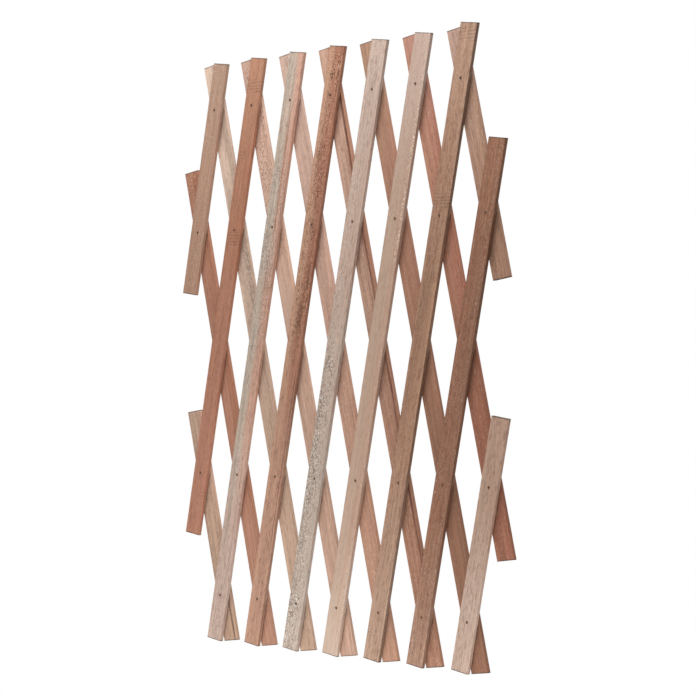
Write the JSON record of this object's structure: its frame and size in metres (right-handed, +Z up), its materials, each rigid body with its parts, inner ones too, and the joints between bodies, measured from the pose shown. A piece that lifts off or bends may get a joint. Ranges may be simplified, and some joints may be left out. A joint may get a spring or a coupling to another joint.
{
  "type": "expanding trellis",
  "caption": "Lattice of crossed, riveted hardwood laths that opens sideways and closes like scissors, hung flat against a wall.",
  "frame": {"origin": "flat tail of the middle rivet of the top row, on the wall plane; the trellis hangs from it", "axes": "+Z up, +Y into the wall, +X to the right seen from the front; the laths lie in planes parallel to XZ"},
  "size_m": [0.5865, 0.0135, 0.788],
  "materials": {
    "pale_wood": "matt, as sawn",
    "grey_wood": "matt, as sawn",
    "tan_wood": "matt, as sawn",
    "salmon_wood": "matt, as sawn",
    "red_wood": "matt, as sawn",
    "dark_wood": "matt, as sawn",
    "rivet_steel": "dull"
  },
  "bodies": {
    "hanging_rivet": {"rivet_row1_4": "rivet_steel"},
    "front_lath_1": {"front_lath_1": "grey_wood", "rivet_row1_1": "rivet_steel", "rivet_row2_1": "rivet_steel"},
    "front_lath_2": {"front_lath_2": "red_wood", "rivet_row1_2": "rivet_steel", "rivet_row2_2": "rivet_steel", "rivet_row4_1": "rivet_steel"},
    "front_lath_3": {"front_lath_3": "pale_wood", "rivet_row1_3": "rivet_steel", "rivet_row2_3": "rivet_steel", "rivet_row4_2": "rivet_steel", "rivet_row5_1": "rivet_steel"},
    "front_lath_4": {"front_lath_4": "red_wood", "rivet_row2_4": "rivet_steel", "rivet_row4_3": "rivet_steel", "rivet_row5_2": "rivet_steel"},
    "front_lath_5": {"front_lath_5": "pale_wood", "rivet_row1_5": "rivet_steel", "rivet_row2_5": "rivet_steel", "rivet_row4_4": "rivet_steel", "rivet_row5_3": "rivet_steel"},
    "front_lath_6": {"front_lath_6": "pale_wood", "rivet_row1_6": "rivet_steel", "rivet_row2_6": "rivet_steel", "rivet_row4_5": "rivet_steel", "rivet_row5_4": "rivet_steel"},
    "front_lath_7": {"front_lath_7": "tan_wood", "rivet_row1_7": "rivet_steel", "rivet_row2_7": "rivet_steel", "rivet_row4_6": "rivet_steel", "rivet_row5_5": "rivet_steel"},
    "front_lath_8": {"front_lath_8": "dark_wood", "rivet_row2_8": "rivet_steel", "rivet_row4_7": "rivet_steel", "rivet_row5_6": "rivet_steel"},
    "front_lath_9": {"front_lath_9": "pale_wood", "rivet_row4_8": "rivet_steel", "rivet_row5_7": "rivet_steel"},
    "back_lath_1": {"back_lath_1": "tan_wood"},
    "back_lath_2": {"back_lath_2": "red_wood"},
    "back_lath_3": {"back_lath_3": "pale_wood"},
    "back_lath_4": {"back_lath_4": "tan_wood"},
    "back_lath_5": {"back_lath_5": "salmon_wood"},
    "back_lath_6": {"back_lath_6": "salmon_wood"},
    "back_lath_7": {"back_lath_7": "tan_wood"},
    "back_lath_8": {"back_lath_8": "salmon_wood"},
    "back_lath_9": {"back_lath_9": "tan_wood"}
  },
  "joints": [
    {"name": "opening", "type": "hinge", "parent": "hanging_rivet", "child": "front_lath_4", "pos_m": [0, -0.0067, 0], "axis": [0, 1, 0], "range_deg": [-8.05, 72.55]},
    {"name": "back_lath_6_turn", "type": "hinge", "parent": "hanging_rivet", "child": "back_lath_6", "pos_m": [0, -0.0067, 0], "axis": [0, 1, 0], "range_deg": [-72.55, 8.05]},
    {"name": "back_lath_5_turn", "type": "hinge", "parent": "front_lath_4", "child": "back_lath_5", "pos_m": [-0.03719, -0.0067, -0.16435], "axis": [0, 1, 0], "range_deg": [-145.1, 16.1]},
    {"name": "back_lath_3_turn", "type": "hinge", "parent": "front_lath_4", "child": "back_lath_3", "pos_m": [-0.11156, -0.0067, -0.49304], "axis": [0, 1, 0], "range_deg": [-145.1, 16.1]},
    {"name": "back_lath_2_turn", "type": "hinge", "parent": "front_lath_4", "child": "back_lath_2", "pos_m": [-0.14875, -0.0067, -0.65738], "axis": [0, 1, 0], "range_deg": [-145.1, 16.1]},
    {"name": "front_lath_5_turn", "type": "hinge", "parent": "back_lath_6", "child": "front_lath_5", "pos_m": [0.03719, -0.0067, -0.16435], "axis": [0, 1, 0], "range_deg": [-16.1, 145.1]},
    {"name": "front_lath_7_turn", "type": "hinge", "parent": "back_lath_6", "child": "front_lath_7", "pos_m": [0.11156, -0.0067, -0.49304], "axis": [0, 1, 0], "range_deg": [-16.1, 145.1]},
    {"name": "front_lath_8_turn", "type": "hinge", "parent": "back_lath_6", "child": "front_lath_8", "pos_m": [0.14875, -0.0067, -0.65738], "axis": [0, 1, 0], "range_deg": [-16.1, 145.1]},
    {"name": "front_lath_3_turn", "type": "hinge", "parent": "back_lath_5", "child": "front_lath_3", "pos_m": [-0.07437, -0.0067, 0], "axis": [0, 1, 0], "range_deg": [-16.1, 145.1]},
    {"name": "front_lath_6_turn", "type": "hinge", "parent": "back_lath_5", "child": "front_lath_6", "pos_m": [0.03719, -0.0067, -0.49304], "axis": [0, 1, 0], "range_deg": [-16.1, 145.1]},
    {"name": "front_lath_1_turn", "type": "hinge", "parent": "back_lath_3", "child": "front_lath_1", "pos_m": [-0.22313, -0.0067, 0], "axis": [0, 1, 0], "range_deg": [-16.1, 145.1]},
    {"name": "front_lath_2_turn", "type": "hinge", "parent": "back_lath_3", "child": "front_lath_2", "pos_m": [-0.18594, -0.0067, -0.16435], "axis": [0, 1, 0], "range_deg": [-16.1, 145.1]},
    {"name": "back_lath_7_turn", "type": "hinge", "parent": "front_lath_5", "child": "back_lath_7", "pos_m": [0.07437, -0.0067, 0], "axis": [0, 1, 0], "range_deg": [-145.1, 16.1]},
    {"name": "back_lath_4_turn", "type": "hinge", "parent": "front_lath_5", "child": "back_lath_4", "pos_m": [-0.03719, -0.0067, -0.49304], "axis": [0, 1, 0], "range_deg": [-145.1, 16.1]},
    {"name": "back_lath_9_turn", "type": "hinge", "parent": "front_lath_7", "child": "back_lath_9", "pos_m": [0.22313, -0.0067, 0], "axis": [0, 1, 0], "range_deg": [-145.1, 16.1]},
    {"name": "back_lath_8_turn", "type": "hinge", "parent": "front_lath_7", "child": "back_lath_8", "pos_m": [0.18594, -0.0067, -0.16435], "axis": [0, 1, 0], "range_deg": [-145.1, 16.1]},
    {"name": "back_lath_1_turn", "type": "hinge", "parent": "front_lath_3", "child": "back_lath_1", "pos_m": [-0.22313, -0.0067, -0.65738], "axis": [0, 1, 0], "range_deg": [-145.1, 16.1]},
    {"name": "front_lath_9_turn", "type": "hinge", "parent": "back_lath_7", "child": "front_lath_9", "pos_m": [0.22313, -0.0067, -0.65738], "axis": [0, 1, 0], "range_deg": [-16.1, 145.1]}
  ],
  "couplings": [
    {"joint": "back_lath_6_turn", "follows": "opening", "ratio": -1},
    {"joint": "back_lath_5_turn", "follows": "opening", "ratio": -2},
    {"joint": "back_lath_3_turn", "follows": "opening", "ratio": -2},
    {"joint": "back_lath_2_turn", "follows": "opening", "ratio": -2},
    {"joint": "front_lath_5_turn", "follows": "opening", "ratio": 2},
    {"joint": "front_lath_7_turn", "follows": "opening", "ratio": 2},
    {"joint": "front_lath_8_turn", "follows": "opening", "ratio": 2},
    {"joint": "front_lath_3_turn", "follows": "opening", "ratio": 2},
    {"joint": "front_lath_6_turn", "follows": "opening", "ratio": 2},
    {"joint": "front_lath_1_turn", "follows": "opening", "ratio": 2},
    {"joint": "front_lath_2_turn", "follows": "opening", "ratio": 2},
    {"joint": "back_lath_7_turn", "follows": "opening", "ratio": -2},
    {"joint": "back_lath_4_turn", "follows": "opening", "ratio": -2},
    {"joint": "back_lath_9_turn", "follows": "opening", "ratio": -2},
    {"joint": "back_lath_8_turn", "follows": "opening", "ratio": -2},
    {"joint": "back_lath_1_turn", "follows": "opening", "ratio": -2},
    {"joint": "front_lath_9_turn", "follows": "opening", "ratio": 2}
  ]
}
